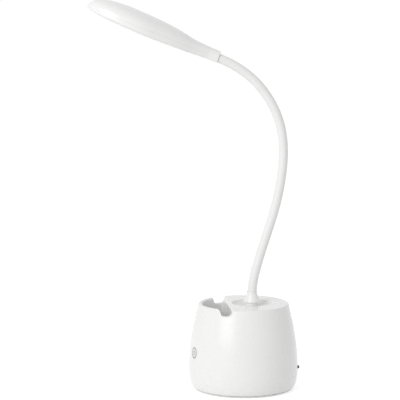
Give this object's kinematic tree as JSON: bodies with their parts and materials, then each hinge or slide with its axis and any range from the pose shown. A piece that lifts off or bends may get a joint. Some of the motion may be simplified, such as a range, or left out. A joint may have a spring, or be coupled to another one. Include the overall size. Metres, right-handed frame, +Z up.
{
  "type": "desk lamp with pen holder",
  "caption": "Desk lamp whose round weighted base holds pens and a phone, with a bendable neck and a leaf-shaped light head.",
  "frame": {"origin": "on the desk, at the centre of the anti-slip pad's underside, on the round base's axis", "axes": "+Z up, the pen pocket and the lamp head towards -Y, the switch and the charging socket towards +Y, the touch button at the front, turned towards +X"},
  "size_m": [0.12, 0.231, 0.4272],
  "materials": {
    "white_gloss": "smooth glossy moulded ABS",
    "neck_silicone": "smooth satin silicone sleeve",
    "frosted_diffuser": "frosted translucent polycarbonate",
    "reflector_white": "white reflector plastic",
    "led_board_white": "white solder mask on an aluminium board",
    "touch_plastic": "smooth light grey touch pad",
    "black_plastic": "fine matt black moulding",
    "foam_pad": "closed-cell foam",
    "ballast_steel": "plain stamped steel",
    "core_steel": "bright wound steel",
    "screw_steel": "zinc plated",
    "plated_steel": "nickel plated",
    "brass_parts": "turned brass",
    "circuit_board": "green solder mask",
    "cell_can": "shrink-wrapped can",
    "lead_jacket": "white lead jacket"
  },
  "bodies": {
    "base": {"base_shell": "white_gloss", "bottom_cover": "white_gloss", "anti_slip_pad": "foam_pad", "ballast_plate": "ballast_steel", "cover_screw_1": "screw_steel", "cover_screw_2": "screw_steel", "cover_screw_3": "screw_steel", "cover_screw_4": "screw_steel", "electronics_tray": "black_plastic", "tray_screw_1": "screw_steel", "tray_screw_2": "screw_steel", "battery_cell": "cell_can", "main_board": "circuit_board", "charge_socket": "plated_steel", "switch_body": "black_plastic", "touch_button": "touch_plastic", "touch_sensor": "circuit_board", "neck_collar": "white_gloss", "gland_nut": "brass_parts", "core_foot": "core_steel", "lamp_lead": "lead_jacket", "neck_sleeve_1": "neck_silicone"},
    "switch_slider": {"switch_knob": "black_plastic"},
    "neck_1": {"core_link_1": "core_steel", "neck_sleeve_2": "neck_silicone"},
    "neck_2": {"core_link_2": "core_steel", "neck_sleeve_3": "neck_silicone"},
    "neck_3": {"core_link_3": "core_steel", "neck_sleeve_4": "neck_silicone"},
    "neck_4": {"core_link_4": "core_steel", "neck_sleeve_5": "neck_silicone"},
    "neck_5": {"core_link_5": "core_steel", "neck_sleeve_6": "neck_silicone"},
    "neck_6": {"core_link_6": "core_steel", "neck_sleeve_7": "neck_silicone"},
    "neck_7": {"core_link_7": "core_steel", "neck_sleeve_8": "neck_silicone"},
    "neck_8": {"core_link_8": "core_steel", "neck_sleeve_9": "neck_silicone"},
    "neck_9": {"core_link_9": "core_steel", "neck_sleeve_10": "neck_silicone"},
    "lamp_head": {"core_end": "core_steel", "head_end_ring": "white_gloss", "head_upper_shell": "white_gloss", "head_lower_frame": "white_gloss", "diffuser": "frosted_diffuser", "reflector_ring": "reflector_white", "led_board": "led_board_white", "head_ferrule": "brass_parts", "head_screw_1": "screw_steel", "head_screw_2": "screw_steel"}
  },
  "joints": [
    {"name": "neck_bend_1", "type": "hinge", "parent": "base", "child": "neck_1", "pos_m": [0, 0.01037, 0.11586], "axis": [1, 0, 0], "range_deg": [-25, 55], "deforming": ["neck_sleeve_1", "lamp_lead"]},
    {"name": "neck_bend_2", "type": "hinge", "parent": "neck_1", "child": "neck_2", "pos_m": [0, 0.01732, 0.1448], "axis": [0, -0.9588, 0.284], "range_deg": [-40, 40], "deforming": ["neck_sleeve_2", "lamp_lead"]},
    {"name": "neck_bend_3", "type": "hinge", "parent": "neck_2", "child": "neck_3", "pos_m": [0, 0.02632, 0.17321], "axis": [-1, 0, 0], "range_deg": [-39.5, 40.5], "deforming": ["neck_sleeve_3", "lamp_lead"]},
    {"name": "neck_bend_4", "type": "hinge", "parent": "neck_3", "child": "neck_4", "pos_m": [0, 0.03493, 0.20173], "axis": [0, 0.9681, -0.2504], "range_deg": [-40, 40], "deforming": ["neck_sleeve_4", "lamp_lead"]},
    {"name": "neck_bend_5", "type": "hinge", "parent": "neck_4", "child": "neck_5", "pos_m": [0, 0.04087, 0.23092], "axis": [1, 0, 0], "range_deg": [-46, 34], "deforming": ["neck_sleeve_5", "lamp_lead"]},
    {"name": "neck_bend_6", "type": "hinge", "parent": "neck_5", "child": "neck_6", "pos_m": [0, 0.04337, 0.26059], "axis": [0, -1, -0.0044], "range_deg": [-40, 40], "deforming": ["neck_sleeve_6", "lamp_lead"]},
    {"name": "neck_bend_7", "type": "hinge", "parent": "neck_6", "child": "neck_7", "pos_m": [0, 0.03991, 0.29011], "axis": [-1, 0, 0], "range_deg": [-23, 57], "deforming": ["neck_sleeve_7", "lamp_lead"]},
    {"name": "neck_bend_8", "type": "hinge", "parent": "neck_7", "child": "neck_8", "pos_m": [0, 0.02839, 0.31748], "axis": [0, 0.8594, 0.5113], "range_deg": [-40, 40], "deforming": ["neck_sleeve_8", "lamp_lead"]},
    {"name": "neck_bend_9", "type": "hinge", "parent": "neck_8", "child": "neck_9", "pos_m": [0, 0.00983, 0.34067], "axis": [1, 0, 0], "range_deg": [-57, 23], "deforming": ["neck_sleeve_9", "lamp_lead"]},
    {"name": "neck_bend_10", "type": "hinge", "parent": "neck_9", "child": "lamp_head", "pos_m": [0, -0.01451, 0.35771], "axis": [0, -0.4695, -0.8829], "range_deg": [-40, 40], "deforming": ["neck_sleeve_10", "lamp_lead"]},
    {"name": "switch_slide", "type": "slide", "parent": "base", "child": "switch_slider", "axis": [1, 0, 0], "range_m": [0, 0.0025]}
  ]
}
